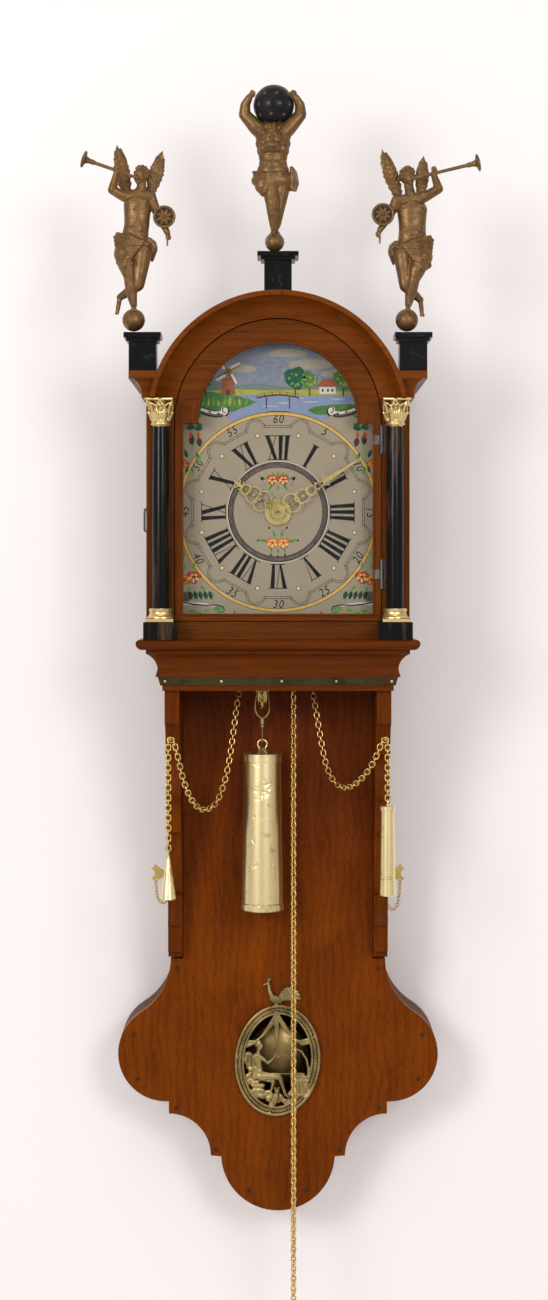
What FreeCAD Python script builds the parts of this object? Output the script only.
import FreeCAD, Part
import math
import os

import Sketcher
from FreeCAD import Placement, Rotation, Vector

# A small wall clock with a long tail. X runs to the right, Y to the wall and Z up.
# The origin is the middle of the wall hook hole, in the back plane of the backboard.
# Depths are counted forward from the wall and heights from the top of the seat board.

doc = FreeCAD.newDocument("wall_clock")
sheet = doc.addObject("Spreadsheet::Sheet", "sizes")

SIZES = """
case: shelf_drop 291, back_thick 12, hook_r 6, board_thick 12, rim_deep 50, rim_wall 16
case: neck_half 115, cheek_in 102, cheek_thick 15, cheek_gap 0.4, rail_front 177, rail_thick 12
tail: shoulder_h -345, lobe_x 120, lobe_h -447, lobe_r 51.5, step_x 117, step_h -511.5
tail: hollow_r 45, tail_r 61, tail_h -554.5, tail_drop 3
tail: peg_r 2.2, peg_proud 0.8, peg_gap 0.03
tail: peg_a_x 108, peg_a_h -356, peg_b_x 155, peg_b_h -427, peg_c_x 150.5, peg_c_h -474.5
tail: peg_d_x 109, peg_d_h -505.5, peg_e_x 66.5, peg_e_h -550.5, peg_f_x 31, peg_f_h -594
window: oval_h -453, oval_half_w 46.2, oval_half_h 60.3, rim_w 10.2, rim_thick 4.2, oval_tilt 5
seat: seat_thick 10.5, slot_half 46, slot_back 77, slot_front 141, rod_slot_half 30, rod_slot_back 24
seat: rod_slot_front 52
mould: nose_out 28, nose_round 4, fillet_out 18, fillet_low -14.5, cove_out 6.6, cove_low -30, lip_out 8.8
mould: lip_low -38.5
mould: band_top_out 6.5, band_low_out 4, band_low -47.5, strip_out 2, strip_low -53
console: block_d 172, block_low -84, bulge_d 166, bulge_low -121, waist_d 118, swell_d 140, swell_h -168
console: ledge_h -198, ledge_d 124, ledge_low -204.5, stem_d 105, stem_low_d 97, stem_low -274
console: knob_low -306.5
console: knob_d 98, foot_d 92, foot_low -335, sole_d 84, sole_low -341.6
hook: hook_h -104, hook_d 172.5, hook_wire 1.1, hook_x 110.5
hood: hood_half 135.5, hood_front 177, front_thick 12, side_thick 10, hood_back 2, eaves_h 266, roof_thick 4
hood: arch_h 223.5, roof_r 126, arch_in 107, arch_out 133, cornice_low 247.4, cornice_high 274
hood: cornice_base 190
hood: cornice_low_out 4, cornice_cove_out 12, cornice_top_out 16.5, cornice_band 8, arch_front 206
hood: pane_back 40, pane_front 130, pane_low 45, pane_spring 185, pane_thick 2, pane_gap 0.15
door: door_half 106, door_low 19, door_gap 1, light_half 98.8, light_r 83.4, light_low 25, rebate 3
door: rebate_deep 4, glass_thick 2
door: hinge_x 106.6, hinge_d 179.4, knuckle_r 1.9, hinge_pin_r 0.9, latch_d 150, latch_h 134.5, latch_r 1.1
door: latch_long 23, hinge_low_h 52, hinge_high_h 190, knuckle_tall 10, run_gap 0.05
column: column_x 120, shaft_r 8.8, shaft_top_r 8.3, shaft_low 32.3, shaft_high 219, stand_off 0.8
column: cap_half 15.5, cap_deep 22, cap_neck 9, foot_half 15.5, foot_deep 21, block_half 17.3, block_deep 27
column: block_tall 18
finial: stand_x 138, stand_d 190, stand_half 14, stand_tall 30, stand_cap 9, stand_cap_half 19
finial: mid_cap_half 21, mid_foot_h 350, mid_tall 37
finial: side_ball_r 11.7, mid_ball_r 10, globe_r 20.9, figure_d 190
dial: dial_h 131.7, dial_back 150, dial_thick 1.5, dial_half 104, dial_low 20, dial_arch_r 88, dial_hole 6
dial: dial_foot_r 1.8, foot_low_h 40, foot_high_h 168
frame: plate_half 42, plate_back 67, plate_front 141, plate_thick 3, low_plate_h 15, high_plate_h 178
frame: post_x 36, post_back 74, post_front 134, post_r 4
frame: bar_half 8, bar_thick 4, back_bar 72, mid_bar 104, front_bar 136, pivot_r 1, pivot_gap 0.05
frame: arbor_r 2, collet_r 4
train: great_teeth 72, great_module 0.8, leaf_count 8, second_teeth 67, second_module 0.7, motion_teeth 48
train: motion_module 1
train: hour_teeth 72, hour_leaves 6, escape_teeth 30, escape_r 17, pallet_rise 24, wheel_thick 2.2
train: going_chain_d 126.5, strike_chain_d 93.5, going_wheel_d 131, strike_wheel_d 99, second_wheel_d 112
train: hoop_wheel_d 80
train: rim_r 12.6, spikes 10, spike_r 0.6, alarm_h 42, alarm_d 82
hands: stud_r 1.5, cannon_r 3, pipe_r 4.4, motion_d 142, hour_wheel_d 145.5, hour_hand_d 155.5
hands: minute_hand_d 158.5, alarm_disc_d 153
hands: hand_thick 1, hour_long 57, minute_long 102.8, alarm_r 14, hour_turn 305, minute_turn 57
swing: swing_d 37, rod_r 1.6, bob_h -456, bob_r 33, bob_thick 14, rod_low -503, nut_r 6, nut_tall 5
swing: fork_h 96, eye_r 5
bell: bell_r 29, bell_h 189, bell_tall 22, bell_wall 2.2, bell_d 104, hammer_x 24, hammer_h 150, hammer_d 84
chain: link_pitch 5.18, link_gap 0.3, link_wire 1.4, link_wide 6.4, tie_pitch 3.4, tie_wire 0.9
chain: tie_wide 4.2
weight: weight_h -122.5, weight_tall 165.5, weight_top_r 19.7, weight_low_r 22.5, weight_d 110, ring_r 5.8
weight: ring_wire 1.8
weight: pulley_h -56, pulley_rim 13, pulley_wide 8, stirrup_half 8.4, stirrup_wire 1.8, stirrup_low -86
weight: loop_h -714, loop_ring_r 6.2
alarm: cone_h -229, cone_tall 46, cone_r 8.2, tube_h -173, tube_tall 94, tube_top_r 7.4, tube_low_r 8.5
alarm: hang_d 172.5
pins: pin_h -254.5, pin_d 68, pin_r 2, pin_long 28, pin_gap 0.06, heart_wide 20, heart_tall 21
pins: heart_thick 1.6
"""


class Size:
    """A size, or a formula of sizes: the text drives an expression, the value starts a sketch."""

    def __init__(self, text, value):
        self.text = text
        self.value = value

    def joined(self, sign, other, value):
        return Size("(" + self.text + " " + sign + " " + sized(other).text + ")", value)

    def __add__(self, other):
        return self.joined("+", other, self.value + number(other))

    def __sub__(self, other):
        return self.joined("-", other, self.value - number(other))

    def __mul__(self, other):
        return self.joined("*", other, self.value * number(other))

    def __truediv__(self, other):
        return self.joined("/", other, self.value / number(other))

    def __radd__(self, other):
        return sized(other) + self

    def __rsub__(self, other):
        return sized(other) - self

    def __rmul__(self, other):
        return sized(other) * self

    def __neg__(self):
        return Size("(0 - " + self.text + ")", -self.value)


def sized(value):
    return value if isinstance(value, Size) else Size(repr(float(value)), float(value))


def number(value):
    return value.value if isinstance(value, Size) else float(value)


def root(value):
    return Size("sqrt(" + value.text + ")", math.sqrt(value.value))


def leg(long_side, short_side):
    return root(sized(long_side) * long_side - sized(short_side) * short_side)


class Sheet:
    """The sizes by name, as they stand in the spreadsheet."""


D = Sheet()
row = 0
for line in SIZES.strip().splitlines():
    group, listed = line.split(": ")
    for entry in listed.split(", "):
        alias, plain = entry.split(" ")
        row += 1
        sheet.set("A%d" % row, group)
        sheet.set("B%d" % row, plain)
        sheet.setAlias("B%d" % row, alias)
        sheet.set("C%d" % row, alias.replace("_", " "))
        setattr(D, alias, Size("sizes." + alias, float(plain)))
doc.recompute()
for alias in list(vars(D)):
    getattr(D, alias).value = float(sheet.get(alias))


def up(height):
    """Height above the seat board as a height above the wall hook hole."""
    return sized(height) - D.shelf_drop


def bind(thing, name, value):
    thing.setExpression(name, sized(value).text)


def settle(thing, x, depth, height):
    bind(thing, "Placement.Base.x", x)
    bind(thing, "Placement.Base.y", -sized(depth))
    bind(thing, "Placement.Base.z", up(height))
    return thing


# Outlines are lists of corners: x, y and the arc to the next corner, as radius and side.
# Side 1 bows to the left of the way along the outline, and side -1 to the right.


def flip(path):
    return [(-sized(c[0]), c[1], turned_arc(c[2])) for c in path]


def turned_arc(arc):
    return (arc[0], -arc[1]) if arc else None


def back_along(path):
    arcs = [turned_arc(c[2]) for c in path[:-1]][::-1] + [None]
    return [(c[0], c[1], arc) for c, arc in zip(path[::-1], arcs)]


def whole(right):
    """Closes a right-hand half, given from its top to the middle of the bottom."""
    left = back_along(flip(right))
    return right[:-1] + [(right[-1][0], right[-1][1], left[0][2])] + left[1:]


def arc_between(start, end, radius, side):
    chord = end - start
    half = chord.Length / 2
    normal = Vector(-chord.y, chord.x, 0).normalize()
    middle = (start + end) * 0.5 - normal * (side * math.sqrt(max(radius * radius - half * half, 0)))
    first, last = (end, start) if side > 0 else (start, end)
    a0 = math.atan2(first.y - middle.y, first.x - middle.x)
    a1 = math.atan2(last.y - middle.y, last.x - middle.x)
    if a1 < a0:
        a1 += 2 * math.pi
    return Part.ArcOfCircle(Part.Circle(middle, Vector(0, 0, 1), radius), a0, a1)


def draw(body, name, plane, at, loops):
    """Draws closed loops on one of the body's planes and ties every corner to the sheet."""
    sketch = body.newObject("Sketcher::SketchObject", name)
    face = [f for f in body.Origin.OriginFeatures if f.Role == plane][0]
    sketch.AttachmentSupport = [(face, "")]
    sketch.MapMode = "FlatFace"
    bind(sketch, "AttachmentOffset.Base.z", at)
    shapes, rules, ties = [], [], []
    for loop in loops:
        first = len(shapes)
        if loop[0] == "circle":
            middle = Vector(number(loop[1]), number(loop[2]), 0)
            shapes.append(Part.Circle(middle, Vector(0, 0, 1), number(loop[3])))
            rules.append(("Radius", first, number(loop[3])))
            ties.append((len(rules) - 1, loop[3]))
            place_corner(rules, ties, first, 3, loop[1], loop[2])
            continue
        spots = [Vector(number(c[0]), number(c[1]), 0) for c in loop]
        ends = []
        for i, corner in enumerate(loop):
            a, b = spots[i], spots[(i + 1) % len(loop)]
            if len(corner) > 2 and corner[2]:
                radius, side = corner[2]
                shapes.append(arc_between(a, b, number(radius), side))
                ends.append((2, 1) if side > 0 else (1, 2))
                rules.append(("Radius", first + i, number(radius)))
                ties.append((len(rules) - 1, radius))
            else:
                shapes.append(Part.LineSegment(a, b))
                ends.append((1, 2))
        for i, corner in enumerate(loop):
            j = (i + 1) % len(loop)
            rules.append(("Coincident", first + i, ends[i][1], first + j, ends[j][0]))
            place_corner(rules, ties, first + i, ends[i][0], corner[0], corner[1])
    sketch.addGeometry(shapes, False)
    sketch.addConstraint([Sketcher.Constraint(*rule) for rule in rules])
    for index, size in ties:
        sketch.setExpression("Constraints[%d]" % index, sized(size).text)
    return sketch


def place_corner(rules, ties, edge, end, x, y):
    for way, size in (("DistanceX", x), ("DistanceY", y)):
        rules.append((way, -1, 1, edge, end, number(size)))
        ties.append((len(rules) - 1, size))


def pad(label, plane, at, length, loops):
    body = doc.addObject("PartDesign::Body", label)
    sketch = draw(body, label + "_outline", plane, at, loops)
    feature = body.newObject("PartDesign::Pad", label + "_pad")
    feature.Profile = sketch
    bind(feature, "Length", length)
    return body


def pocket(body, name, plane, at, length, loops, forward):
    feature = body.newObject("PartDesign::Pocket", name)
    feature.Profile = draw(body, name + "_outline", plane, at, loops)
    bind(feature, "Length", length)
    feature.Reversed = forward
    return body


FRONT = Rotation(Vector(1, 0, 0), 90)
UPRIGHT = Rotation()
RIGHT = Rotation(Vector(0, 1, 0), 90)


def turn(label, corners, x, depth, height, axis=UPRIGHT):
    """Turns a profile of radius and length about its axis."""
    body = doc.addObject("PartDesign::Body", label)
    sketch = draw(body, label + "_profile", "XZ_Plane", 0, [corners])
    feature = body.newObject("PartDesign::Revolution", label + "_turned")
    feature.Profile = sketch
    feature.ReferenceAxis = (sketch, ["V_Axis"])
    feature.Angle = 360
    body.Placement = Placement(Vector(), axis)
    return settle(body, x, depth, height)


def sweep(label, profile, path):
    """Runs a profile along a path of straight lengths with mitred corners."""
    body = doc.addObject("PartDesign::Body", label)
    section = draw(body, label + "_section", "XZ_Plane", 0, [profile])
    spine = body.newObject("Sketcher::SketchObject", label + "_path")
    face = [f for f in body.Origin.OriginFeatures if f.Role == "XY_Plane"][0]
    spine.AttachmentSupport = [(face, "")]
    spine.MapMode = "FlatFace"
    spots = [Vector(number(x), number(y), 0) for x, y in path]
    count = len(spots) - 1
    spine.addGeometry([Part.LineSegment(spots[i], spots[i + 1]) for i in range(count)], False)
    rules, ties = [], []
    for i in range(count):
        if i + 1 < count:
            rules.append(("Coincident", i, 2, i + 1, 1))
        place_corner(rules, ties, i, 1, *path[i])
    place_corner(rules, ties, count - 1, 2, *path[-1])
    spine.addConstraint([Sketcher.Constraint(*rule) for rule in rules])
    for index, size in ties:
        spine.setExpression("Constraints[%d]" % index, sized(size).text)
    feature = body.newObject("PartDesign::AdditivePipe", label + "_run")
    feature.Profile = section
    feature.Spine = spine
    feature.Transition = "Right corner"
    return body


def box(label, x0, x1, d0, d1, h0, h1):
    thing = doc.addObject("Part::Box", label)
    bind(thing, "Length", sized(x1) - x0)
    bind(thing, "Width", sized(d1) - d0)
    bind(thing, "Height", sized(h1) - h0)
    return settle(thing, x0, d1, h0)


def rod(label, radius, length, x, depth, height, axis=UPRIGHT):
    thing = doc.addObject("Part::Cylinder", label)
    bind(thing, "Radius", radius)
    bind(thing, "Height", length)
    thing.Placement = Placement(Vector(), axis)
    return settle(thing, x, depth, height)


def cut(label, base, tools):
    tool = tools[0]
    if len(tools) > 1:
        tool = doc.addObject("Part::MultiFuse", label + "_away")
        tool.Shapes = tools
    thing = doc.addObject("Part::Cut", label)
    thing.Base = base
    thing.Tool = tool
    return thing


def join(label, pieces):
    thing = doc.addObject("Part::MultiFuse", label)
    thing.Shapes = pieces
    return thing


def shared(label, first, second):
    thing = doc.addObject("Part::MultiCommon", label)
    thing.Shapes = [first, second]
    return thing


def formed(label, shape):
    thing = doc.addObject("Part::Feature", label)
    thing.Shape = shape
    return thing


NODES = []


def node(label, pieces):
    """Names one sub-part, made of one solid or of a group of like solids."""
    if len(pieces) == 1:
        thing = pieces[0]
    else:
        thing = doc.addObject("Part::Compound", label + "_group")
        thing.Links = pieces
    thing.Label = label
    NODES.append(thing)
    return thing


def oval(label, half_wide, half_high, depth, thick):
    """An upright oval slab, leaning a little like the one on the tail."""
    ring = doc.addObject("Part::Ellipse", label + "_line")
    bind(ring, "MajorRadius", half_high)
    bind(ring, "MinorRadius", half_wide)
    ring.Placement = Placement(
        Vector(), Rotation(Vector(1, 0, 0), 90) * Rotation(Vector(0, 0, 1), 90 - D.oval_tilt.value),
    )
    settle(ring, 0, depth, D.oval_h)
    slab = doc.addObject("Part::Extrusion", label)
    slab.Base = ring
    slab.DirMode = "Custom"
    slab.Dir = Vector(0, -1, 0)
    bind(slab, "LengthFwd", thick)
    slab.Solid = True
    return slab


TAIL_BACK = D.back_thick
TAIL_MID = D.back_thick + D.rim_deep
TAIL_FRONT = TAIL_MID + D.board_thick


def tail_half_line():
    """The right-hand edge of the tail from the shoulder to the lowest point."""
    reach = D.neck_half - D.lobe_x
    rise = D.shoulder_h - D.lobe_h
    bend = (reach * reach + rise * rise - D.lobe_r * D.lobe_r) / ((D.lobe_r - reach) * 2)
    share = D.lobe_r / (bend + D.lobe_r)
    meet_x = D.lobe_x + (D.neck_half + bend - D.lobe_x) * share
    meet_h = D.lobe_h + rise * share
    hollow_h = D.step_h - D.hollow_r
    return [
        (D.neck_half, up(D.shoulder_h), (bend, -1)),
        (meet_x, up(meet_h), (D.lobe_r, 1)),
        (D.lobe_x + D.lobe_r, up(D.lobe_h), (D.lobe_r, 1)),
        (D.lobe_x, up(D.lobe_h - D.lobe_r), None),
        (D.step_x, up(D.lobe_h - D.lobe_r), None),
        (D.step_x, up(D.step_h), (D.hollow_r, -1)),
        (D.step_x - D.hollow_r, up(hollow_h), None),
        (leg(D.tail_r, D.tail_drop), up(D.tail_h - D.tail_drop), (D.tail_r, 1)),
        (0, up(D.tail_h - D.tail_r), None),
    ]


def tail_hollow_line():
    """The right-hand edge of the room inside the tail, from the shoulder down."""
    inner = D.lobe_r - D.rim_wall
    wide = D.hollow_r + D.rim_wall
    hollow_h = D.step_h - D.hollow_r
    turn_x = D.step_x - wide * 0.3
    low = D.tail_r - D.rim_wall
    return [
        (D.cheek_in - 6, up(D.shoulder_h), None),
        (D.lobe_x + inner * 0.26, up(D.lobe_h + leg(inner, inner * 0.26)), (inner, 1)),
        (D.lobe_x + inner, up(D.lobe_h), (inner, 1)),
        (D.lobe_x, up(D.lobe_h - inner), None),
        (turn_x, up(D.lobe_h - inner), None),
        (turn_x, up(hollow_h + leg(wide, wide * 0.3)), (wide, -1)),
        (D.step_x - leg(wide, wide * 0.1), up(hollow_h + wide * 0.1), None),
        (low, up(D.tail_h), (low, 1)),
        (0, up(D.tail_h - low), None),
    ]


PEGS = [
    (D.peg_a_x, D.peg_a_h),
    (D.peg_b_x, D.peg_b_h),
    (D.peg_c_x, D.peg_c_h),
    (D.peg_d_x, D.peg_d_h),
    (D.peg_e_x, D.peg_e_h),
    (D.peg_f_x, D.peg_f_h),
]


def peg_holes():
    spots = [(x * side, h) for x, h in PEGS for side in (-1, 1)]
    return [("circle", x, up(h), D.peg_r + D.peg_gap) for x, h in spots]


def build_tail():
    edge = tail_half_line()
    arch = D.neck_half
    top = [
        (0, up(D.arch_h + arch), (arch, 1)),
        (arch, up(D.arch_h), None),
    ]
    right = [(c[0], c[1], c[2]) for c in edge]
    left = back_along(flip(right))
    outline = whole(right)
    crown = [(-arch, up(D.arch_h), (arch, 1)), top[0], top[1]]
    board = outline[:-1] + [(left[-1][0], left[-1][1], None)] + crown
    hook = ("circle", 0, 0, D.hook_r)
    node("backboard", [pad("backboard", "XZ_Plane", 0, D.back_thick, [board, hook])])

    inside = D.cheek_in - D.cheek_gap
    tongue = [
        (-inside, up(D.shoulder_h), None),
        (-inside, up(-D.seat_thick), None),
        (inside, up(-D.seat_thick), None),
        (inside, up(D.shoulder_h), None),
    ]
    face = outline[:-1] + [(left[-1][0], left[-1][1], None)] + tongue
    front = pad("front_plank", "XZ_Plane", TAIL_MID, D.board_thick, [face] + peg_holes())
    light = oval(
        "front_light", D.oval_half_w - D.rim_w + 1.5, D.oval_half_h - D.rim_w + 1.5, TAIL_MID - 2,
        D.board_thick + 4,
    )
    bores = [
        rod("pin_bore_left", D.pin_r + D.pin_gap, D.pin_long, -(D.cheek_in + 2), D.pin_d, D.pin_h, RIGHT),
        rod(
            "pin_bore_right", D.pin_r + D.pin_gap, D.pin_long, D.cheek_in + 2 - D.pin_long, D.pin_d,
            D.pin_h, RIGHT,
        ),
    ]
    node("tail_front_board", [cut("tail_front", front, [light] + bores)])

    hollow = tail_hollow_line()
    rim = outline[:-1] + [(left[-1][0], left[-1][1], None)]
    down = flip(hollow)
    rise = back_along(hollow)
    rim += down[:-1] + [(down[-1][0], down[-1][1], rise[0][2])] + rise[1:]
    ring = pad("rim_ring", "XZ_Plane", TAIL_BACK, D.rim_deep, [rim] + peg_holes())
    node("tail_rim", [ring])
    pegs = []
    for i, (x, h) in enumerate(PEGS):
        for side, name in ((-1, "left"), (1, "right")):
            peg_long = D.board_thick + D.peg_proud + 20
            pegs.append(rod("peg_%s_%d" % (name, i), D.peg_r, peg_long, x * side, TAIL_MID - 20, h, FRONT))
    node("tail_pegs", pegs)


def console_line():
    """The side of a console, from its top front corner down and back up the wall side."""
    d = [
        (D.rail_front, -D.seat_thick, None),
        (D.rail_front, D.strip_low, None),
        (D.block_d, D.strip_low, None),
        (D.block_d, D.block_low, (5, -1)),
        (D.block_d - 5, D.block_low - 5, None),
        (D.bulge_d - 2, D.block_low - 5, (34, 1)),
        (D.bulge_d - 16, D.bulge_low, None),
        (D.waist_d, D.bulge_low, (42, -1)),
        (D.waist_d + 11, D.swell_h + 22, (30, 1)),
        (D.swell_d, D.swell_h, (30, 1)),
        (D.ledge_d, D.ledge_h, None),
        (D.ledge_d, D.ledge_low, None),
        (D.stem_d, D.ledge_low, (160, -1)),
        (D.stem_low_d - 5, D.stem_low, None),
        (D.stem_low_d, D.stem_low, None),
        (D.stem_low_d, D.stem_low - 6.5, (30, 1)),
        (D.stem_low_d, D.knob_low, None),
        (D.foot_d, D.knob_low, None),
        (D.foot_d, D.foot_low, None),
        (D.sole_d, D.foot_low, None),
        (D.sole_d, D.sole_low, None),
        (D.back_thick, D.sole_low, None),
        (D.back_thick, -D.seat_thick, None),
    ]
    return [(-sized(c[0]), up(c[1]), c[2]) for c in d]


def build_shelf():
    consoles = []
    pin_hole = ("circle", -D.pin_d, up(D.pin_h), D.pin_r + D.pin_gap)
    for side, name in ((-1, "left"), (1, "right")):
        at = D.cheek_in if side > 0 else -(D.cheek_in + D.cheek_thick)
        blank = pad("console_%s" % name, "YZ_Plane", at, D.cheek_thick, [console_line(), pin_hole])
        hole = rod(
            "hook_hole_%s" % name, D.hook_wire + 0.05, 16, D.hook_x * side, D.hook_d - 22, D.hook_h, FRONT,
        )
        consoles.append(cut("console_%s_bored" % name, blank, [hole]))
    node("consoles", consoles)

    slot = [
        (-D.slot_half, -D.slot_front), (D.slot_half, -D.slot_front), (D.slot_half, -D.slot_back),
        (-D.slot_half, -D.slot_back),
    ]
    rod_slot = [
        (-D.rod_slot_half, -D.rod_slot_front),
        (D.rod_slot_half, -D.rod_slot_front),
        (D.rod_slot_half, -D.rod_slot_back),
        (-D.rod_slot_half, -D.rod_slot_back),
    ]
    half = D.cheek_in + D.cheek_thick
    plan = [(-half, -D.rail_front), (half, -D.rail_front), (half, -D.back_thick), (-half, -D.back_thick)]
    node("seat_board", [pad("seat", "XY_Plane", up(-D.seat_thick), D.seat_thick, [plan, slot, rod_slot])])
    rail = box(
        "front_rail_board", -D.cheek_in, D.cheek_in, D.rail_front - D.rail_thick, D.rail_front, D.strip_low,
        -D.seat_thick,
    )
    node("front_rail", [rail])

    path = [(-half, 0), (-half, -D.rail_front), (half, -D.rail_front), (half, 0)]
    nose_low = -D.seat_thick
    nose = [
        (-half, up(0), None),
        (-half, up(nose_low), None),
        (-(half + D.nose_out - 6), up(nose_low), (7, 1)),
        (-(half + D.nose_out), up(-D.nose_round), (D.nose_round, 1)),
        (-(half + D.nose_out - D.nose_round), up(0), None),
    ]
    cove = [
        (-half, up(nose_low), None),
        (-half, up(D.lip_low), None),
        (-(half + D.lip_out), up(D.lip_low), None),
        (-(half + D.cove_out), up(D.cove_low), (19, -1)),
        (-(half + D.fillet_out), up(D.fillet_low), None),
        (-(half + D.fillet_out), up(nose_low), None),
    ]
    band = [
        (-half, up(D.lip_low), None),
        (-half, up(D.band_low), None),
        (-(half + D.band_low_out), up(D.band_low), None),
        (-(half + D.band_top_out), up(D.lip_low), None),
    ]
    strip = [
        (-half, up(D.band_low), None),
        (-half, up(D.strip_low), None),
        (-(half + D.strip_out), up(D.strip_low), None),
        (-(half + D.strip_out), up(D.band_low), None),
    ]
    runs = []
    for name, profile in (("nosing", nose), ("cove", cove), ("strip", strip)):
        runs += mitred(name, [(c[0], c[1], c[2]) for c in profile], path, half)
    node("base_moulding", runs)
    node("brass_band", mitred("band", band, path, half))


def mitred(name, profile, path, half):
    """A moulding round the front and both sides, sawn at the two corners."""
    run = sweep(name + "_run", profile, path)
    reach = D.nose_out + 5
    front = [
        (-half, -D.rail_front),
        (-(half + reach), -(D.rail_front + reach)),
        (half + reach, -(D.rail_front + reach)),
        (half, -D.rail_front),
    ]
    left = [
        (-half, 0),
        (-(half + reach), 0),
        (-(half + reach), -(D.rail_front + reach)),
        (-half, -D.rail_front),
    ]
    right = [(half, 0), (half, -D.rail_front), (half + reach, -(D.rail_front + reach)), (half + reach, 0)]
    pieces = []
    for place, plan in (("front", front), ("left", left), ("right", right)):
        wedge = pad(
            "%s_%s_wedge" % (name, place), "XY_Plane", up(D.strip_low - 1), D.seat_thick + 60, [plan],
        )
        pieces.append(shared("%s_%s" % (name, place), run, wedge))
    return pieces


def build_hood():
    half, gap = D.hood_half, D.door_gap
    back = D.hood_front - D.front_thick
    spring = leg(D.roof_r, D.eaves_h - D.arch_h)
    outer = whole([
        (D.hood_half, up(D.eaves_h), None),
        (D.hood_half, up(0), None),
        (0, up(0), None),
    ])
    outer = outer + [
        (-spring, up(D.eaves_h), (D.roof_r, 1)), (0, up(D.arch_h + D.roof_r), (D.roof_r, 1)),
        (spring, up(D.eaves_h), None),
    ]
    open_half = D.door_half + gap
    opening = [
        (-open_half, up(D.door_low - gap), None),
        (open_half, up(D.door_low - gap), None),
        (open_half, up(D.arch_h), (open_half, -1)),
        (0, up(D.arch_h + open_half), (open_half, -1)),
        (-open_half, up(D.arch_h), None),
    ]
    node("hood_frame", [pad("hood_face", "XZ_Plane", back, D.front_thick, [outer, opening])])

    pane = (D.pane_front - D.pane_back) / 2
    pane_mid = (D.pane_front + D.pane_back) / 2
    sides, panes = [], []
    for side, name in ((-1, "left"), (1, "right")):
        at = half - D.side_thick if side > 0 else -half
        plan = [
            (-back, up(0)), (-D.hood_back, up(0)), (-D.hood_back, up(D.eaves_h)), (-back, up(D.eaves_h)),
        ]
        blank = pad(
            "hood_side_%s" % name, "YZ_Plane", at, D.side_thick, [plan, side_light(pane_mid, pane, 0)],
        )
        if side < 0:
            blank = cut(
                "hood_side_bored", blank,
                [rod("hook_pivot_bore", D.latch_r + D.run_gap, 12, -half - 1, D.latch_d, D.latch_h, RIGHT)],
            )
        sides.append(blank)
        glass_at = at + (D.side_thick - D.pane_thick) / 2
        panes.append(
            pad(
                "side_pane_%s" % name, "YZ_Plane", glass_at, D.pane_thick,
                [side_light(pane_mid, pane, D.pane_gap)],
            )
        )
    node("hood_sides", sides)
    node("side_glasses", panes)

    top = D.roof_r + D.roof_thick
    top_h = D.eaves_h + D.roof_thick
    top_x = leg(top, top_h - D.arch_h)
    roof = [
        (-half, up(D.eaves_h), None),
        (-spring, up(D.eaves_h), (D.roof_r, 1)),
        (0, up(D.arch_h + D.roof_r), (D.roof_r, 1)),
        (spring, up(D.eaves_h), None),
        (half, up(D.eaves_h), None),
        (half, up(top_h), None),
        (top_x, up(top_h), (top, -1)),
        (0, up(D.arch_h + top), (top, -1)),
        (-top_x, up(top_h), None),
        (-half, up(top_h), None),
    ]
    node("hood_roof", [pad("roof", "XZ_Plane", D.hood_back, D.hood_front - D.hood_back, [roof])])

    deep = D.arch_front - D.hood_front
    ring = [
        (D.arch_in, 0, None),
        (D.arch_in, 2.5, None),
        (D.arch_in + 4, 2.5, (30, -1)),
        (D.arch_out - 5, deep - 3, None),
        (D.arch_out - 5, deep, None),
        (D.arch_out, deep, None),
        (D.arch_out, 0, None),
    ]
    arch = turn("arch_ring", ring, 0, D.hood_front, D.arch_h, FRONT)
    above = box(
        "arch_part", -(D.arch_out + 5), D.arch_out + 5, D.hood_front - 1, D.arch_front + 1, D.cornice_low,
        D.arch_h + D.arch_out + 5,
    )
    node("arch_moulding", [shared("arch_run", arch, above)])
    build_cornice()


def side_light(middle, half, gap):
    low, spring, half = D.pane_low + gap, D.pane_spring, half - gap
    return [
        (-(middle + half), up(low), None),
        (-(middle - half), up(low), None),
        (-(middle - half), up(spring), (half, -1)),
        (-middle, up(spring + half), (half, -1)),
        (-(middle + half), up(spring), None),
    ]


def build_cornice():
    half, base = D.hood_half, D.cornice_base
    profile = [
        (-half, up(D.cornice_low), None),
        (-(half + D.cornice_low_out), up(D.cornice_low), None),
        (-(half + D.cornice_low_out), up(D.cornice_low + 4), (16, -1)),
        (-(half + D.cornice_cove_out), up(D.cornice_high - D.cornice_band), None),
        (-(half + D.cornice_top_out), up(D.cornice_high - D.cornice_band), None),
        (-(half + D.cornice_top_out), up(D.cornice_high), None),
        (-half, up(D.cornice_high), None),
    ]
    run = sweep("cornice_run", profile, [(-half, 0), (-half, -base), (half, -base), (half, 0)])
    reach = D.cornice_top_out + 5
    bow = rod("cornice_bow", D.arch_out + 0.1, 60, 0, D.hood_front - 20, D.arch_h, FRONT)
    pieces = []
    for side, name in ((-1, "left"), (1, "right")):
        flank = [
            (half * side, -D.hood_back),
            (half * side, -base),
            ((half + reach) * side, -(base + reach)),
            ((half + reach) * side, -D.hood_back),
        ]
        face = [
            (sized(90) * side, -base),
            (sized(90) * side, -(base + reach)),
            ((half + reach) * side, -(base + reach)),
            (half * side, -base),
        ]
        for place, plan in (("flank", flank), ("face", face)):
            wedge = pad(
                "cornice_%s_%s_wedge" % (name, place), "XY_Plane", up(D.cornice_low - 1), 60, [plan],
            )
            piece = shared("cornice_%s_%s" % (name, place), run, wedge)
            if place == "face":
                piece = cut("cornice_%s_end" % name, piece, [bow])
            pieces.append(piece)
        x0, x1 = (sized(90), half) if side > 0 else (-half, sized(-90))
        block = box("frieze_%s" % name, x0, x1, D.hood_front, base, D.cornice_low, D.cornice_high)
        pieces.append(cut("frieze_%s_end" % name, block, [bow]))
    node("hood_cornice", pieces)


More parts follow.
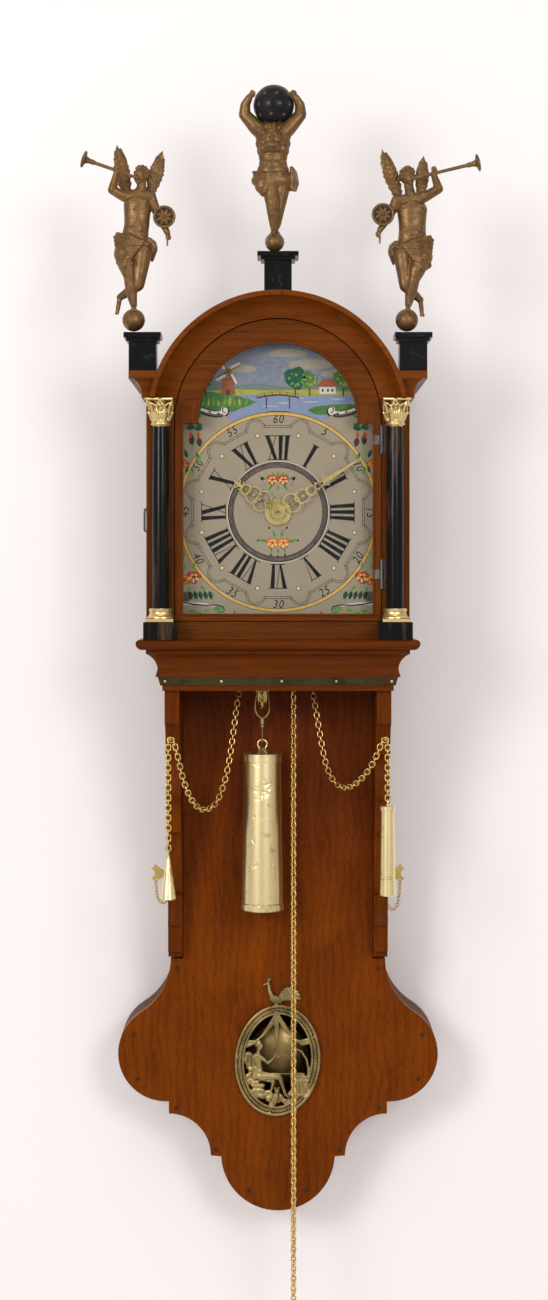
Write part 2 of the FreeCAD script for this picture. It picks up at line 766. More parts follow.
def build_columns():
    mid = D.hood_front + D.stand_off + D.shaft_r
    shafts, brasses, blocks = [], [], []
    long = D.shaft_high - D.shaft_low
    for side, name in ((-1, "left"), (1, "right")):
        x = D.column_x * side
        shaft = [
            (0, 0), (D.shaft_r, 0), (D.shaft_r, long * 0.3, (6000, -1)), (D.shaft_top_r, long), (0, long),
        ]
        shafts.append(turn("shaft_%s" % name, shaft, x, mid, D.shaft_low))
        cap_tall = D.cornice_low - D.shaft_high
        bell = [
            (0, 0, None),
            (D.cap_neck, 0, None),
            (D.cap_neck + 1.5, 1.5, None),
            (D.cap_neck, 3, None),
            (D.cap_neck, cap_tall * 0.5, (16, -1)),
            (D.cap_half - 1.5, cap_tall - 4, None),
            (0, cap_tall - 4, None),
        ]
        bell_body = turn("capital_bell_%s" % name, bell, x, mid, D.shaft_high)
        abacus = box(
            "abacus_%s" % name, x - D.cap_half, x + D.cap_half, D.hood_front, D.hood_front + D.cap_deep,
            D.cornice_low - 4, D.cornice_low,
        )
        whole_cap = join("capital_%s" % name, [bell_body, abacus])
        behind = box(
            "capital_back_%s" % name, x - 20, x + 20, D.hood_front - 20, D.hood_front, D.shaft_high - 1,
            D.cornice_low + 1,
        )
        way = box(
            "capital_way_%s" % name, -D.door_half - 0.8, D.door_half + 0.8, D.hood_front - 1,
            D.hood_front + 40, D.shaft_high - 1, D.cornice_low + 1,
        )
        brasses.append(cut("capital_%s_flat" % name, whole_cap, [behind, way]))
        foot_tall = D.shaft_low - D.block_tall
        ring = [
            (0, 0, None),
            (D.foot_half - 1, 0, (2.2, -1)),
            (D.foot_half - 1, 4.2, None),
            (D.shaft_r + 2, 5, (4, 1)),
            (D.shaft_r + 2.5, foot_tall - 3.5, (1.8, -1)),
            (D.shaft_r + 2.5, foot_tall, None),
            (0, foot_tall, None),
        ]
        ring_body = turn(
            "foot_ring_%s" % name, ring[:4] + [(D.shaft_r + 2, foot_tall - 3.6, None)] + ring[4:], x, mid,
            D.block_tall,
        )
        plate = box(
            "foot_plate_%s" % name, x - D.foot_half, x + D.foot_half, D.hood_front,
            D.hood_front + D.foot_deep, D.block_tall, D.block_tall + 3,
        )
        whole_foot = join("foot_%s" % name, [ring_body, plate])
        rear = box(
            "foot_back_%s" % name, x - 20, x + 20, D.hood_front - 20, D.hood_front, D.block_tall - 1,
            D.shaft_low + 1,
        )
        path = box(
            "foot_way_%s" % name, -D.door_half - 0.8, D.door_half + 0.8, D.hood_front - 1,
            D.hood_front + 40, D.block_tall - 1, D.shaft_low + 1,
        )
        brasses.append(cut("foot_%s_flat" % name, whole_foot, [rear, path]))
        blocks.append(
            box(
                "block_%s" % name, x - D.block_half, x + D.block_half, D.hood_front,
                D.hood_front + D.block_deep, 0, D.block_tall,
            )
        )
    node("columns", shafts + blocks)
    node("column_brasses", brasses)


def build_door():
    back = D.hood_front - D.front_thick
    half, low = D.door_half, D.door_low
    outer = [
        (-half, up(low), None),
        (half, up(low), None),
        (half, up(D.arch_h), (half, -1)),
        (0, up(D.arch_h + half), (half, -1)),
        (-half, up(D.arch_h), None),
    ]
    body = pad("door_leaf", "XZ_Plane", back, D.front_thick, [outer, light_line(0)])
    pocket(body, "door_rebate", "XZ_Plane", back, D.rebate_deep, [light_line(D.rebate)], True)
    node("door_frame", [body])
    glass_at = back + D.rebate_deep - D.glass_thick
    node(
        "door_glass", [pad("door_pane", "XZ_Plane", glass_at, D.glass_thick, [light_line(D.rebate - 0.2)])],
    )

    still, moving = [], []
    for name, h in (("low", D.hinge_low_h), ("high", D.hinge_high_h)):
        pin = rod(
            "hinge_pin_%s" % name, D.hinge_pin_r, D.knuckle_tall * 3, D.hinge_x, D.hinge_d, h, UPRIGHT,
        )
        lower = rod("hinge_low_%s" % name, D.knuckle_r, D.knuckle_tall, D.hinge_x, D.hinge_d, h, UPRIGHT)
        upper = rod(
            "hinge_up_%s" % name, D.knuckle_r, D.knuckle_tall, D.hinge_x, D.hinge_d, h + D.knuckle_tall * 2,
            UPRIGHT,
        )
        side = D.hinge_x + D.knuckle_r + 0.2
        leaf = box(
            "hinge_leaf_%s" % name, side, side + 2.1, D.hood_front, D.hood_front + 1, h,
            h + D.knuckle_tall * 3,
        )
        strap = box(
            "hinge_strap_a_%s" % name, D.hinge_x + 0.9, side + 0.5, D.hood_front, D.hinge_d, h,
            h + D.knuckle_tall,
        )
        top_strap = (h + D.knuckle_tall * 2, h + D.knuckle_tall * 3)
        strap_b = box(
            "hinge_strap_b_%s" % name, D.hinge_x + 0.9, side + 0.5, D.hood_front, D.hinge_d, *top_strap
        )
        still.append(join("hinge_still_%s" % name, [pin, lower, upper, leaf, strap, strap_b]))
        h0, h1 = h + D.knuckle_tall + 0.2, h + D.knuckle_tall * 2 - 0.2
        middle = rod(
            "knuckle_%s" % name, D.knuckle_r, D.knuckle_tall - 0.4, D.hinge_x, D.hinge_d, h0, UPRIGHT,
        )
        wing = box(
            "knuckle_wing_%s" % name, D.hinge_x - 9, D.hinge_x - 0.9, D.hood_front, D.hood_front + 1, h0,
            h1,
        )
        tie = box(
            "knuckle_tie_%s" % name, D.hinge_x - 2.2, D.hinge_x - 0.9, D.hood_front, D.hinge_d, h0, h1,
        )
        bore = rod(
            "knuckle_bore_%s" % name, D.hinge_pin_r + D.run_gap, D.knuckle_tall * 3, D.hinge_x, D.hinge_d,
            h, UPRIGHT,
        )
        moving.append(
            cut("knuckle_%s_bored" % name, join("knuckle_%s_whole" % name, [middle, wing, tie]), [bore])
        )
    node("door_hinges", still)
    node("door_knuckles", moving)


def light_line(more):
    half, low, r = D.light_half + more, D.light_low - more, D.light_r + more
    return [
        (-half, up(low), None),
        (half, up(low), None),
        (half, up(D.arch_h), None),
        (r, up(D.arch_h), (r, -1)),
        (0, up(D.arch_h + r), (r, -1)),
        (-r, up(D.arch_h), None),
        (-half, up(D.arch_h), None),
    ]


def build_stands():
    stands = []
    tall, cap = D.stand_tall, D.stand_cap
    for name, x in (("left", -D.stand_x), ("right", D.stand_x)):
        stands.append(stand(name, x, D.cornice_high, tall, cap, D.stand_cap_half))
    middle = stand("middle", sized(0), D.mid_foot_h, D.mid_tall, cap - 1, D.mid_cap_half)
    bow = rod("stand_bow", D.arch_out + 0.02, 80, 0, D.hood_front - 30, D.arch_h, FRONT)
    stands.append(cut("stand_middle_saddled", middle, [bow]))
    node("pedestals", stands)


def stand(name, x, h, tall, cap, cap_half):
    d, half = D.stand_d, D.stand_half
    body = box("stand_%s" % name, x - half, x + half, d - half, d + half, h, h + tall)
    neck_half = (half + cap_half) / 2
    neck = box(
        "stand_neck_%s" % name, x - neck_half, x + neck_half, d - neck_half, d + neck_half, h + tall,
        h + tall + cap * 0.4,
    )
    top = box(
        "stand_cap_%s" % name, x - cap_half, x + cap_half, d - cap_half, d + cap_half, h + tall + cap * 0.4,
        h + tall + cap,
    )
    return join("stand_%s_whole" % name, [body, neck, top])


# Carved figures and bent wire are formed from rounded limbs and lofts.


def limb(a, b, ra, rb):
    """A tapered bar with round ends."""
    a, b = Vector(*a), Vector(*b)
    long = (b - a).Length
    turn_at = math.sqrt(0.5)
    edges = [
        Part.Arc(Vector(0, 0, -ra), Vector(ra * turn_at, 0, -ra * turn_at), Vector(ra, 0, 0)).toShape(),
        Part.LineSegment(Vector(ra, 0, 0), Vector(rb, 0, long)).toShape(),
        Part.Arc(
            Vector(rb, 0, long), Vector(rb * turn_at, 0, long + rb * turn_at), Vector(0, 0, long + rb),
        ).toShape(),
        Part.LineSegment(Vector(0, 0, long + rb), Vector(0, 0, -ra)).toShape(),
    ]
    solid = Part.Face(Part.Wire(edges)).revolve(Vector(), Vector(0, 0, 1), 360)
    solid.Placement = Placement(a, Rotation(Vector(0, 0, 1), b - a))
    return solid


def stack(rings):
    """A loft through level ovals, each given as middle, half width and half depth."""
    wires = []
    for x, y, z, wide, deep in rings:
        flat = Part.Ellipse(Vector(), max(wide, deep), min(wide, deep)).toShape()
        spin = Rotation() if wide >= deep else Rotation(Vector(0, 0, 1), 90)
        flat.Placement = Placement(Vector(x, y, z), spin)
        wires.append(Part.Wire(flat))
    return Part.makeLoft(wires, True)


def blade(points, y, thick):
    """A flat leaf with a smooth outline, such as a wing."""
    curve = Part.BSplineCurve()
    curve.interpolate([Vector(x, y, z) for x, z in points], PeriodicFlag=True)
    return Part.Face(Part.Wire(curve.toShape())).extrude(Vector(0, -thick, 0))


def wire(points, radius):
    """Round wire along a smooth line."""
    curve = Part.BSplineCurve()
    curve.interpolate([Vector(*p) for p in points])
    path = Part.Wire(curve.toShape())
    start = path.Edges[0].valueAt(path.Edges[0].FirstParameter)
    way = path.Edges[0].tangentAt(path.Edges[0].FirstParameter)
    ring = Part.Wire(Part.Circle(start, way, radius).toShape())
    return path.makePipeShell([ring], True, False)


def fused(pieces):
    return pieces[0].multiFuse(pieces[1:])


def trumpeter(ball_r):
    """A winged figure on a ball, trumpet to the left. The origin is the middle of the ball."""
    return fused([
        Part.makeSphere(ball_r),
        limb((0, 0, 11), (3, 0, 48), 4.2, 8),
        limb((7.2, -9, 35), (8, -1, 60), 6, 9),
        limb((-16, 2, 9), (7.2, -8, 34), 3.2, 5.6),
        stack(
            [
                (1, 0, 53, 14, 10), (1, 0, 66, 21, 13), (2, 0, 80, 19, 12), (3, 0, 92, 12.6, 9),
                (3.6, 0, 112, 12.5, 9), (4, 0, 128, 14, 8), (5, 0, 136, 6, 5.5),
            ]
        ),
        limb((5.5, 0, 133), (7, -1.5, 146), 4, 4),
        stack(
            [
                (7.2, -2, 137.5, 3, 3), (7.2, -2.4, 141, 6, 6.6), (7.2, -1.6, 147, 7.6, 8),
                (7.2, -0.6, 152.5, 6.2, 6.8), (7.2, 0, 155.6, 2.5, 3),
            ]
        ),
        limb((-7, -1, 127), (-23, -6, 133), 5, 4),
        limb((-23, -6, 133), (-15, -13, 150), 4, 3.2),
        limb((16, -1, 127), (25, 1, 104), 5, 4),
        limb((25, 1, 104), (32.6, -3, 87), 4, 3.4),
        limb((7, -10, 146.4), (-40, -15, 160), 1.5, 2.4),
        limb((-40, -15, 160), (-50, -16, 163), 2.4, 6.6),
        Part.makeCylinder(11.8, 4, Vector(31, 3, 106.5), Vector(0, -1, 0)),
        blade([(0, 120), (-12, 128), (-19, 150), (-20, 176), (-17, 184), (-9, 172), (0, 152)], 10, 5),
        blade([(8, 120), (19, 128), (27, 148), (30, 170), (28, 178), (19, 168), (9, 150)], 10, 5),
    ])


def bearer(ball_r):
    """A figure on a ball with both arms raised to a globe."""
    return fused([
        Part.makeSphere(ball_r),
        limb((-5, 0, 12), (-8, 0, 52), 4, 8.4),
        limb((6, -2, 11), (8, -2, 52), 4, 8.4),
        stack(
            [
                (0, 0, 44, 15, 11), (0, 0, 58, 20, 13), (0, 0, 72, 17, 11.5), (0, 0, 80, 14, 10),
                (0, 0, 104, 17, 10.5), (0, 0, 117, 14, 9.5), (0, -1, 122, 8, 7),
            ]
        ),
        limb((-15, 0, 112), (-34, -1, 127), 5.4, 4.2),
        limb((-34, -1, 127), (-22, -1, 154), 4.2, 3.2),
        limb((15, 0, 112), (30, -1, 127), 5.4, 4.2),
        limb((30, -1, 127), (19, -1, 154), 4.2, 3.2),
        limb((0, -9, 117), (-1, -19, 124), 5, 5),
        stack(
            [
                (-1, -21, 114.5, 3, 3), (-1, -21, 118, 5.6, 6), (-1, -20.4, 124, 7, 7.4),
                (-1, -19.6, 129.5, 5.8, 6.4), (-1, -19, 132.6, 2.4, 2.8),
            ]
        ),
    ])


def build_figures():
    left_ball = Vector(
        -146, -D.figure_d.value,
        up(D.cornice_high + D.stand_tall + D.stand_cap + D.side_ball_r).value - 0.6,
    )
    shape = trumpeter(D.side_ball_r.value)
    flat = Part.makeBox(60, 60, 30, Vector(-30, -30, -30 - D.side_ball_r.value + 0.6))
    shape = shape.cut(flat)
    other = shape.mirror(Vector(), Vector(1, 0, 0))
    shape.Placement = Placement(left_ball, Rotation())
    node("left_trumpeter", [formed("trumpeter_left", shape)])
    right_ball = Vector(134, left_ball.y, left_ball.z)
    other = other.copy()
    other.Placement = Placement(right_ball, Rotation()).multiply(other.Placement)
    node("right_trumpeter", [formed("trumpeter_right", other)])
    top = up(D.mid_foot_h + D.mid_tall + D.stand_cap - 1 + D.mid_ball_r).value
    middle = Vector(-2, -D.figure_d.value, top - 0.5)
    globe_spot = Vector(-2.3, 1, 142.6)
    man = bearer(D.mid_ball_r.value)
    man = man.cut(Part.makeBox(60, 60, 30, Vector(-30, -30, -30 - D.mid_ball_r.value + 0.5)))
    man = man.cut(Part.makeSphere(D.globe_r.value + 0.15, globe_spot))
    man.Placement = Placement(middle, Rotation())
    node("globe_bearer", [formed("bearer", man)])
    node("globe", [formed("globe_ball", Part.makeSphere(D.globe_r.value, middle + globe_spot))])


def oval_face(less, y):
    """The face of the window's oval, drawn in by a margin."""
    wide, high = D.oval_half_w.value - less, D.oval_half_h.value - less
    line = Part.Ellipse(Vector(), high, wide).toShape()
    lean = Rotation(Vector(1, 0, 0), 90) * Rotation(Vector(0, 0, 1), 90 - D.oval_tilt.value)
    line.Placement = Placement(Vector(0, y, up(D.oval_h).value), lean)
    return Part.Wire(line)


def build_window():
    """The oval brass rim with a bird on top and pierced work inside."""
    y, z = -TAIL_FRONT.value, up(D.oval_h).value
    thick = D.rim_thick.value
    rim = Part.Face(
        [oval_face(0, y), oval_face(D.rim_w.value, y)], "Part::FaceMakerBullseye",
    ).extrude(Vector(0, -thick, 0))
    bird = blade(
        [
            (-16, z + 68), (-10, z + 62), (-2, z + 57), (10, z + 56), (20, z + 54), (24, z + 58),
            (12, z + 66), (2, z + 74), (-4, z + 80), (-9, z + 83), (-13, z + 80), (-12, z + 75),
        ],
        y, 3.2,
    )
    mound = blade(
        [
            (-34, z - 24), (-18, z - 18), (0, z - 21), (16, z - 16), (35, z - 22), (34, z - 40),
            (20, z - 53), (0, z - 57), (-20, z - 52), (-33, z - 41),
        ],
        y, 2.6,
    )
    drape = blade(
        [
            (-34, z + 30), (-22, z + 20), (-6, z + 30), (8, z + 24), (22, z + 32), (36, z + 22),
            (38, z + 30), (28, z + 48), (10, z + 56), (-10, z + 56), (-28, z + 46),
        ],
        y, 2.6,
    )
    seat = [
        limb((4, y - 2.4, z - 22), (6, y - 3, z + 2), 7, 5.6),
        limb((6, y - 3, z + 4), (5, y - 3.4, z + 9), 2.6, 2.8),
        limb((5, y - 3.6, z + 12), (5, y - 3.8, z + 15), 4, 4.1),
        limb((8, y - 3, z), (22, y - 3, z - 10), 3, 2.4),
        limb((2, y - 3, z - 1), (-12, y - 3, z + 6), 3, 2.4),
        limb((2, y - 3.4, z - 22), (-16, y - 3.4, z - 24), 5, 4),
        limb((-16, y - 3.4, z - 24), (-20, y - 3, z - 40), 4.1, 3),
    ]
    figure = fused(seat).cut(Part.makeBox(200, 40, 300, Vector(-100, y, z - 150)))
    node("window_bezel", [formed("window_work", fused([rim, bird, mound, drape, figure]))])


# Wheels stand on axes that run forward. Their own length is counted as depth from the wall.


def tooth_face(teeth, module, share, first, bore, arms):
    """A toothed disc with one tooth at the angle first, a bore and open quarters between arms."""
    teeth, pitch_r = int(teeth), teeth * module / 2
    low, high = pitch_r - 1.2 * module, pitch_r + 0.85 * module
    half = share * math.pi / teeth
    points = []
    for i in range(teeth):
        mid = math.radians(first) + i * 2 * math.pi / teeth
        for r, wide in ((low, 1.15), (pitch_r, 1.0), (high, 0.55)):
            points.append(polar(r, mid - half * wide))
        for r, wide in ((high, 0.55), (pitch_r, 1.0), (low, 1.15)):
            points.append(polar(r, mid + half * wide))
    wires = [Part.makePolygon(points + points[:1])]
    if bore:
        wires.append(Part.Wire(Part.Circle(Vector(), Vector(0, 0, 1), bore).toShape()))
    for i in range(arms):
        wires.append(quarter(low - 2.2, bore + 2.5, (i + 0.5) * 2 * math.pi / arms, math.pi / arms))
    return Part.Face(wires, "Part::FaceMakerBullseye")


def polar(r, angle, z=0.0):
    return Vector(r * math.cos(angle), r * math.sin(angle), z)


def quarter(far, near, middle, half):
    a, b = half - 1.6 / far, half - 1.6 / near
    edges = [
        Part.Arc(polar(far, middle - a), polar(far, middle), polar(far, middle + a)).toShape(),
        Part.LineSegment(polar(far, middle + a), polar(near, middle + b)).toShape(),
        Part.Arc(polar(near, middle + b), polar(near, middle), polar(near, middle - b)).toShape(),
        Part.LineSegment(polar(near, middle - b), polar(far, middle - a)).toShape(),
    ]
    return Part.Wire(edges)


def disc(radius, start, end, bore=0):
    solid = Part.makeCylinder(radius, end - start, Vector(0, 0, start))
    if bore:
        solid = solid.cut(Part.makeCylinder(bore, end - start + 2, Vector(0, 0, start - 1)))
    return solid


def toothed(teeth, module, share, first, bore, arms, start, thick):
    solid = tooth_face(teeth, module, share, first, bore, arms).extrude(Vector(0, 0, thick))
    solid.translate(Vector(0, 0, start))
    return solid


def facing(solids, x, height):
    group = Part.makeCompound(solids) if len(solids) > 1 else solids[0]
    group.Placement = Placement(Vector(x, 0, up(height).value), FRONT)
    return group


WHEEL_SHARE = 0.40
LEAF_SHARE = 0.33
SPROCKET_R = D.link_pitch.value * D.spikes.value / math.pi
GREAT_H = D.dial_h - D.motion_teeth * D.motion_module
SECOND_H = GREAT_H + (D.great_teeth + D.leaf_count) * D.great_module / 2
ESCAPE_H = SECOND_H + (D.second_teeth + D.leaf_count) * D.second_module / 2
ANCHOR_H = ESCAPE_H + D.pallet_rise
PIN_LONG = D.bar_thick.value / 2 - 0.1


def arbor(start, end, leaves, module, leaf_start, leaf_end, gap_at, collet_at):
    """A spindle with pivots, a pinion and a seat for its wheel."""
    pieces = [
        disc(D.arbor_r.value, start + 0.2, end - 0.2),
        disc(D.pivot_r.value, start - PIN_LONG, start + 1),
        disc(D.pivot_r.value, end - 1, end + PIN_LONG),
        disc(D.collet_r.value - 0.02, collet_at, collet_at + D.wheel_thick.value),
        disc(D.collet_r.value + 1, collet_at - 1, collet_at),
    ]
    if leaves:
        first = gap_at + 180.0 / leaves
        pieces.append(toothed(leaves, module, LEAF_SHARE, first, 0, 0, leaf_start, leaf_end - leaf_start))
    return fused(pieces)


def sprocket(middle, bore, spike_at):
    """A chain wheel: a drum between two cheeks, with spikes for every other link."""
    pieces = [disc(D.rim_r.value, middle - 3.6, middle + 3.6)]
    for side in (-1, 1):
        near = middle + side * 3.6
        pieces.append(disc(D.rim_r.value + 2.6, min(near, near + side * 1.1), max(near, near + side * 1.1)))
    for i in range(int(D.spikes.value)):
        angle = math.radians(spike_at) + i * 2 * math.pi / int(D.spikes.value)
        pin = Part.makeCylinder(
            D.spike_r.value, 6.6, polar(D.rim_r.value - 1.2, angle, middle), polar(1, angle),
        )
        pieces.append(pin)
    return fused(pieces).cut(disc(bore, middle - 10, middle + 10))


def great_wheel(label, wheel_d, chain_d, bay_start, bay_end, spike_at, nose):
    thick = D.wheel_thick.value
    wheel = toothed(
        D.great_teeth.value, D.great_module.value, WHEEL_SHARE, 90, D.collet_r.value, 4, wheel_d, thick,
    )
    drum = sprocket(chain_d, D.arbor_r.value + 0.02, spike_at)
    spindle = fused([
        disc(D.arbor_r.value, bay_start + 0.2, bay_end - 0.2),
        disc(D.pivot_r.value, bay_start - PIN_LONG, bay_start + 1),
        disc(D.pivot_r.value if not nose else 1.4, bay_end - 1, bay_end + (nose or PIN_LONG)),
        disc(D.collet_r.value - 0.02, wheel_d, wheel_d + thick),
    ])
    return node(label, [formed(label + "_set", facing([wheel, drum, spindle], 0, GREAT_H))])


def build_trains(going_spike, strike_spike):
    thick = D.wheel_thick.value
    back, mid, front = (number(v) for v in (D.back_bar + D.bar_thick, D.mid_bar + D.bar_thick, D.front_bar))
    strike_end = D.mid_bar.value
    leaves = int(D.leaf_count.value)
    great_wheel(
        "going_great_wheel", D.going_wheel_d.value, D.going_chain_d.value, mid, front, going_spike, 11.6,
    )
    great_wheel(
        "strike_great_wheel", D.strike_wheel_d.value, D.strike_chain_d.value, back, strike_end,
        strike_spike, 0,
    )

    at = D.second_wheel_d.value
    spindle = arbor(
        mid, front, leaves, D.great_module.value, D.going_wheel_d.value - 0.8,
        D.going_wheel_d.value + thick + 0.8, 270, at,
    )
    wheel = toothed(
        D.second_teeth.value, D.second_module.value, WHEEL_SHARE, 90, D.collet_r.value, 4, at, thick,
    )
    node("second_wheel", [formed("second_set", facing([wheel, spindle], 0, SECOND_H))])

    at = D.hoop_wheel_d.value
    spindle = arbor(
        back, strike_end, leaves, D.great_module.value, D.strike_wheel_d.value - 0.8,
        D.strike_wheel_d.value + thick + 0.8, 270, at,
    )
    wheel = toothed(
        D.second_teeth.value, D.second_module.value, WHEEL_SHARE, 90, D.collet_r.value, 4, at, thick,
    )
    node("hoop_wheel", [formed("hoop_set", facing([wheel, spindle], 0, SECOND_H))])

    escape_at = 119.0
    at = D.second_wheel_d.value
    spindle = arbor(mid, front, leaves, D.second_module.value, at - 0.8, at + thick + 0.8, 270, escape_at)
    node(
        "escape_wheel",
        [formed("escape_set", facing([escape_disc(escape_at, thick), spindle], 0, ESCAPE_H))],
    )

    fly_at = 92.0
    at = D.hoop_wheel_d.value
    spindle = arbor(
        back, strike_end, leaves, D.second_module.value, at - 0.8, at + thick + 0.8, 270, fly_at,
    )
    vane = Part.makeBox(34, 1, 9, Vector(-17, -0.5, fly_at - 3.5)).cut(
        disc(D.collet_r.value + 1, fly_at - 5, fly_at + 7)
    )
    hub = disc(D.collet_r.value + 1, fly_at + 0.02, fly_at + thick, D.collet_r.value)
    node("fly", [formed("fly_set", facing([fused([vane, hub]), spindle], 0, ESCAPE_H))])
    build_anchor(escape_at, thick)


def escape_disc(at, thick):
    """The escape wheel with slender raked teeth."""
    count, tip = int(D.escape_teeth.value), D.escape_r.value
    points = []
    for i in range(count):
        a = math.radians(90) + i * 2 * math.pi / count
        step = 2 * math.pi / count
        points += [
            polar(tip - 4.2, a - step * 0.62), polar(tip, a), polar(tip, a + step * 0.06),
            polar(tip - 4.2, a + step * 0.1),
        ]
    wires = [
        Part.makePolygon(points + points[:1]),
        Part.Wire(Part.Circle(Vector(), Vector(0, 0, 1), D.collet_r.value).toShape()),
    ]
    for i in range(4):
        wires.append(quarter(tip - 6.4, D.collet_r.value + 2.2, (i + 0.5) * math.pi / 2, math.pi / 4))
    solid = Part.Face(wires, "Part::FaceMakerBullseye").extrude(Vector(0, 0, thick))
    solid.translate(Vector(0, 0, at))
    return solid


def build_anchor(at, thick):
    """The pallets on their long arbor, with the crutch that reaches back to the pendulum."""
    clear = D.escape_r.value + 1.0
    drop = D.pallet_rise.value
    spread = math.radians(44)
    foot_x, foot_z = clear * math.sin(spread), clear * math.cos(spread) - drop
    arms = []
    for side in (-1, 1):
        tip = Vector(side * foot_x, foot_z, at)
        outer = Vector(side * (foot_x + 3.2), foot_z + 2.4, at)
        knee = Vector(side * (foot_x + 1.5), foot_z + 8, at)
        inner = Vector(side * 2, -2.4, at)
        crown = Vector(side * 2, 2.4, at)
        shoulder = Vector(side * (foot_x + 4.4), foot_z + 10.5, at)
        outline = Part.makePolygon([tip, knee, inner, crown, shoulder, outer, tip])
        arms.append(Part.Face(outline).extrude(Vector(0, 0, thick)))
    back = D.swing_d.value + 18
    reach = (ANCHOR_H - D.fork_h).value
    pieces = arms + [
        disc(4, at, at + thick),
        disc(D.arbor_r.value, back - 1, D.front_bar.value - 0.2),
        disc(D.pivot_r.value, D.front_bar.value - 1, D.front_bar.value + PIN_LONG),
        Part.makeBox(3, reach, 2, Vector(-1.5, -reach, back)),
    ]
    for side in (-1, 1):
        x = side * (D.rod_r.value + 0.35) - (1.2 if side < 0 else 0)
        pieces.append(
            Part.makeBox(1.2, 4, back + 2 - (D.swing_d.value - 3), Vector(x, -reach, D.swing_d.value - 3))
        )
    pieces.append(
        Part.makeBox(2 * (D.rod_r.value + 1.55), 4, 2, Vector(-(D.rod_r.value + 1.55), -reach, back))
    )
    node("anchor", [formed("anchor_set", facing([fused(pieces)], 0, ANCHOR_H))])


def build_frame():
    half, thick = D.plate_half, D.plate_thick
    pieces = []
    for name, h, holes in (("low", D.low_plate_h, True), ("high", D.high_plate_h, False)):
        plan = rectangle(-half, half, D.plate_back, D.plate_front)
        loops = [plan]
        if holes:
            for side in (-1, 1):
                loops.append(rectangle(sized(10.5) * side, sized(27) * side, sized(77), sized(133)))
        else:
            loops.append(rectangle(sized(28), sized(40), sized(78.4), sized(83)))
        for x in (-D.post_x, D.post_x):
            for d in (D.post_back, D.post_front):
                loops.append(("circle", x, -d, D.post_r - 1.5))
        pieces.append(pad("plate_%s" % name, "XY_Plane", up(h), thick, loops))
    low, high = D.low_plate_h + thick, D.high_plate_h
    run = D.pivot_r + D.pivot_gap
    for name, at in (("back", D.back_bar), ("mid", D.mid_bar), ("front", D.front_bar)):
        great_run = sized(1.4) + D.pivot_gap if name == "front" else run
        anchor_run = run if name == "front" else D.arbor_r + 1
        outline = [
            (-D.bar_half, up(low)), (D.bar_half, up(low)), (D.bar_half, up(high)), (-D.bar_half, up(high)),
        ]
        if name == "back":
            outline = [
                (-D.bar_half, up(low)),
                (D.bar_half, up(low)),
                (D.bar_half, up(D.hammer_h - 6)),
                (D.hammer_x + 6, up(D.hammer_h - 6)),
                (D.hammer_x + 6, up(D.hammer_h + 6)),
                (D.bar_half, up(D.hammer_h + 6)),
                (D.bar_half, up(high)),
                (-D.bar_half, up(high)),
            ]
        loops = [outline]
        for h, r in ((GREAT_H, great_run), (SECOND_H, run), (ESCAPE_H, run), (ANCHOR_H, anchor_run)):
            loops.append(("circle", sized(0), up(h), r))
        bar = pad("bar_%s" % name, "XZ_Plane", at, D.bar_thick, loops)
        if name == "front":
            stud = rod("centre_stud", D.stud_r, 26, 0, at + D.bar_thick, D.dial_h, FRONT)
            bar = join("bar_front_stud", [bar, stud])
        if name == "back":
            stud = rod("hammer_stud", 1.5, 12, D.hammer_x, at + D.bar_thick, D.hammer_h, FRONT)
            alarm = rod("alarm_stud", 2, 11, 0, at + D.bar_thick, D.alarm_h, FRONT)
            bar = join("bar_back_studs", [bar, stud, alarm])
        pieces.append(bar)
    for i, x in enumerate((-D.post_x, D.post_x)):
        for j, d in enumerate((D.post_back, D.post_front)):
            neck = D.post_r - 1.5
            line = [
                (0, 0),
                (D.post_r + 1, 0),
                (D.post_r + 1, 3),
                (D.post_r, 5),
                (D.post_r, D.low_plate_h),
                (neck, D.low_plate_h),
                (neck, D.low_plate_h + thick),
                (D.post_r, D.low_plate_h + thick),
                (D.post_r, D.high_plate_h),
                (neck, D.high_plate_h),
                (neck, D.high_plate_h + thick),
                (0, D.high_plate_h + thick),
            ]
            pieces.append(turn("post_%d_%d" % (i, j), line, x, d, 0))
    node("movement_frame", pieces)
    hub = turn(
        "alarm_drum",
        [(2.05, 0), (14, 0), (14, 1), (12.6, 1), (12.6, 8.4), (14, 8.4), (14, 9.4), (2.05, 9.4)], 0,
        D.alarm_d - 4.7, D.alarm_h, FRONT,
    )
    node("alarm_wheel", [hub])


def rectangle(x0, x1, d0, d1):
    return [(x0, -sized(d1)), (x1, -sized(d1)), (x1, -sized(d0)), (x0, -sized(d0))]


